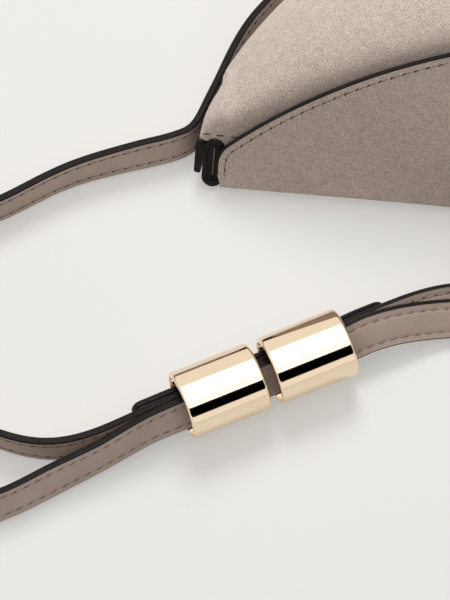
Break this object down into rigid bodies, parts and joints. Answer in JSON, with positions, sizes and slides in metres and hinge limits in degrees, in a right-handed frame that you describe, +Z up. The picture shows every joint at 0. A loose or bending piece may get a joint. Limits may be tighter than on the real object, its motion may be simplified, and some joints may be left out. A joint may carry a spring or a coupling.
{
  "type": "half moon bag",
  "caption": "Half moon shoulder bag in taupe suede, with a magnetic flap and a flat leather strap whose two strands run through sliding pale gold barrels.",
  "frame": {"origin": "on the surface that the bag lies on, below the middle of its back panel", "axes": "+X along the bag straight side and its mouth, +Y towards the round bottom of the half moon, +Z up, away from the surface"},
  "size_m": [0.5462, 0.2378, 0.076],
  "materials": {
    "suede": "fine grey-taupe suede",
    "strap_leather": "smooth taupe leather with painted edges",
    "edge_paint": "dark painted leather edge",
    "pale_gold": "polished pale gold plating",
    "lining": "taupe woven lining",
    "magnet_metal": "satin nickel plating"
  },
  "bodies": {
    "bag": {"front_panel": "suede", "back_panel": "suede", "front_lining": "lining", "back_lining": "lining", "inner_pocket": "lining", "body_magnet": "magnet_metal", "magnet_washer": "magnet_metal", "gusset_left": "suede", "gusset_right": "suede", "strap_tab_left": "strap_leather", "strap_tab_right": "strap_leather", "strap_left_inner": "strap_leather", "strap_left_outer": "strap_leather", "strap_inner_run": "strap_leather", "strap_outer_run": "strap_leather", "strap_inner_across": "strap_leather", "strap_outer_across": "strap_leather", "strap_right_inner": "strap_leather", "strap_right_outer": "strap_leather", "keeper_strip": "strap_leather"},
    "flap": {"flap_panel": "suede", "flap_lining": "lining", "flap_magnet": "magnet_metal"},
    "left_barrel": {"barrel_left": "pale_gold"},
    "right_barrel": {"barrel_right": "pale_gold"}
  },
  "joints": [
    {"name": "flap_hinge", "type": "hinge", "parent": "bag", "child": "flap", "pos_m": [0, -0.0514, 0.004], "axis": [1, 0, 0], "range_deg": [0, 75]},
    {"name": "left_barrel_slide", "type": "slide", "parent": "bag", "child": "left_barrel", "axis": [0.8572, 0.515, 0], "range_m": [-0.015, 0.0015]},
    {"name": "right_barrel_slide", "type": "slide", "parent": "bag", "child": "right_barrel", "axis": [0.8572, 0.515, 0], "range_m": [-0.0015, 0.015]}
  ]
}
